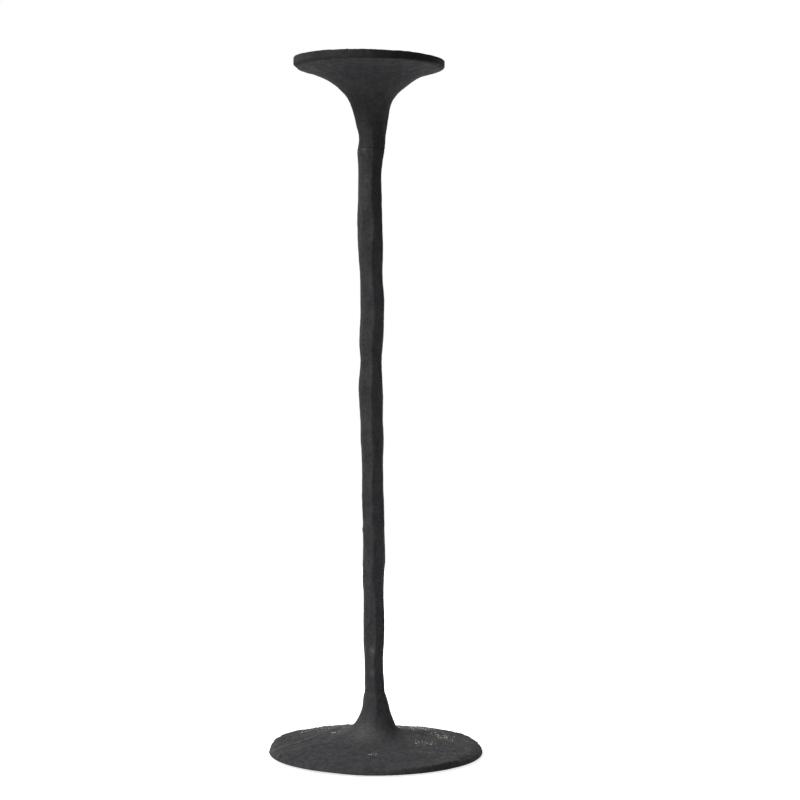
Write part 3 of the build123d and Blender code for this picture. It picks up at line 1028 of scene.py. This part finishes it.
class CANDLE_OT_felt_pads(bpy.types.Operator):
    """Make the four felt pads under the base"""

    bl_idname = "candle_stand.felt_pads"
    bl_label = "Felt pads"

    def execute(self, context):
        settings = context.scene.candle_felt
        values = {
            "Nap height": settings.nap_height,
            "Fibre length": settings.fibre_length,
            "Fibre density": FIBRES_PER_AREA,
            "Material": made_once(bpy.data.materials, pressed_wool_felt, settings),
        }
        tree = made_once(bpy.data.node_groups, cut_felt)
        rings, edge_parts = 9, 6
        for number, node in enumerate(PAD_NAMES, 1):
            low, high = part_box(node)
            middle, radius, thickness = (low + high) / 2, (high.x - low.x) / 2, high.z - low.z
            rows = [(low.z, radius * ring / rings) for ring in range(rings)]
            # The cut edge bulges a little
            for part in range(edge_parts + 1):
                angle = math.pi * part / edge_parts
                height = low.z + thickness * (0.5 - 0.5 * math.cos(angle))
                rows.append((height, radius - 0.35 * MM + 0.3 * MM * math.sin(angle)))
            rows += [(high.z, radius * ring / rings) for ring in reversed(range(rings))]
            pad = turned_mesh(f"felt_pad_{number}", rows, middle, sides=72)
            x, y, z = points_of(pad.data).T
            outer = ease_in(np.hypot(x - middle.x, y - middle.y), radius - 0.6 * MM, radius - 0.3 * MM)
            inside = 1 - np.abs(2 * (z - low.z) / thickness - 1)
            put(pad.data, edge=ease_in(inside, 0.05, 0.6) * outer)
            run_tree(pad, tree, values)
            hand_over(pad, "felt", node)
        return {"FINISHED"}


# The large soft lamp stands high at the left and a little to the front
KEY_DIRECTION = Vector((-0.62, -0.34, 0.80))
KEY_SPREAD = math.radians(28)
FLOOR_RADIUS = 1.15


class CANDLE_OT_studio(bpy.types.Operator):
    """Make the floor, the lamps, the white surroundings and the camera"""

    bl_idname = "candle_stand.studio"
    bl_label = "Studio"

    def execute(self, context):
        settings = context.scene.candle_studio
        self.make_floor(settings)
        self.make_world(context, settings)
        lamp = bpy.data.lights.new("key_lamp", "SUN")
        lamp.energy = settings.key_energy
        lamp.angle = KEY_SPREAD
        holder = show("key_lamp", lamp)
        holder.rotation_euler = KEY_DIRECTION.to_track_quat("Z", "Y").to_euler()
        camera = bpy.data.cameras.new("camera")
        camera.lens = 85
        camera.sensor_width = 36
        camera.clip_start, camera.clip_end = 0.05, 100
        holder = show("camera", camera)
        holder.location = settings.camera_place
        holder.rotation_euler = (math.pi / 2 - settings.camera_pitch, 0, 0)
        context.scene.camera = holder
        context.scene.view_settings.view_transform = "Standard"
        return {"FINISHED"}

    def seen_plainly(self, add):
        """One where the viewer, a mirror or a glass looks, and nought for all other light."""
        path = add("ShaderNodeLightPath")
        seen = path.outputs["Is Camera Ray"]
        for other in ("Is Glossy Ray", "Is Transmission Ray"):
            seen = add(MATH, (seen, path.outputs[other]), "MAXIMUM")
        return seen

    def make_floor(self, settings):
        """A round white sweep, lifted to full white where the viewer sees it in the light."""
        material, add = new_material("white_paper_sweep")
        place = add("ShaderNodeTexCoord").outputs["Object"]
        mottle = add(NOISE, {"Vector": place, "Scale": pattern_scale(60 * MM), "Detail": 3.0})
        shade = add(MAP_RANGE, (mottle.outputs[0], 0.3, 0.7, 0.99, 1.0), **SOFT)
        colour = add(VECTOR_MATH, {"Vector": settings.floor[:3], "Scale": shade}, "SCALE")
        strength = add(MATH, (self.seen_plainly(add), settings.floor_lift), "MULTIPLY")
        paper = add("ShaderNodeBsdfDiffuse", {"Color": colour})
        lift = add("ShaderNodeEmission", {"Strength": strength})
        add("ShaderNodeOutputMaterial", {"Surface": add("ShaderNodeAddShader", (paper, lift))})
        mesh = bpy.data.meshes.new("floor")
        work = bmesh.new()
        bmesh.ops.create_circle(work, cap_ends=True, segments=96, radius=FLOOR_RADIUS)
        work.to_mesh(mesh)
        work.free()
        mesh.materials.append(material)
        show("floor", mesh)

    def make_world(self, context, settings):
        world = bpy.data.worlds.new("white_room")
        context.scene.world = world
        world.use_nodes = True
        world.node_tree.nodes.clear()
        add = partial(add_node, world.node_tree)
        strength = add(MAP_RANGE, (self.seen_plainly(add), 0.0, 1.0, settings.ambient, 1.0))
        room = add("ShaderNodeBackground", {"Color": (1.0, 1.0, 1.0, 1.0), "Strength": strength})
        add("ShaderNodeOutputWorld", {"Surface": room})


SETTINGS = {
    "candle_casting": CastingSettings,
    "candle_hardware": HardwareSettings,
    "candle_felt": FeltSettings,
    "candle_studio": StudioSettings,
}
OPERATORS = (
    CANDLE_OT_base,
    CANDLE_OT_stem,
    CANDLE_OT_pan,
    CANDLE_OT_screws,
    CANDLE_OT_felt_pads,
    CANDLE_OT_studio,
)


class CANDLE_PT_stand(bpy.types.Panel):
    """Lists the settings and the pieces"""

    bl_idname = "CANDLE_PT_stand"
    bl_label = "Candle stand"
    bl_space_type = "VIEW_3D"
    bl_region_type = "UI"
    bl_category = "Candle Stand"

    def draw(self, context):
        for name, group in SETTINGS.items():
            box = self.layout.box()
            for field in group.__annotations__:
                box.prop(getattr(context.scene, name), field)
        for operator in OPERATORS:
            self.layout.operator(operator.bl_idname)


CLASSES = (*SETTINGS.values(), *OPERATORS, CANDLE_PT_stand)


def register():
    for kind in CLASSES:
        bpy.utils.register_class(kind)
    for name, group in SETTINGS.items():
        setattr(bpy.types.Scene, name, bpy.props.PointerProperty(type=group))


def unregister():
    for name in SETTINGS:
        delattr(bpy.types.Scene, name)
    for kind in reversed(CLASSES):
        bpy.utils.unregister_class(kind)


def main():
    register()
    bpy.ops.candle_stand.base()
    bpy.ops.candle_stand.stem()
    bpy.ops.candle_stand.pan()
    bpy.ops.candle_stand.screws()
    bpy.ops.candle_stand.felt_pads()
    bpy.ops.candle_stand.studio()


if __name__ == "__main__":
    main()
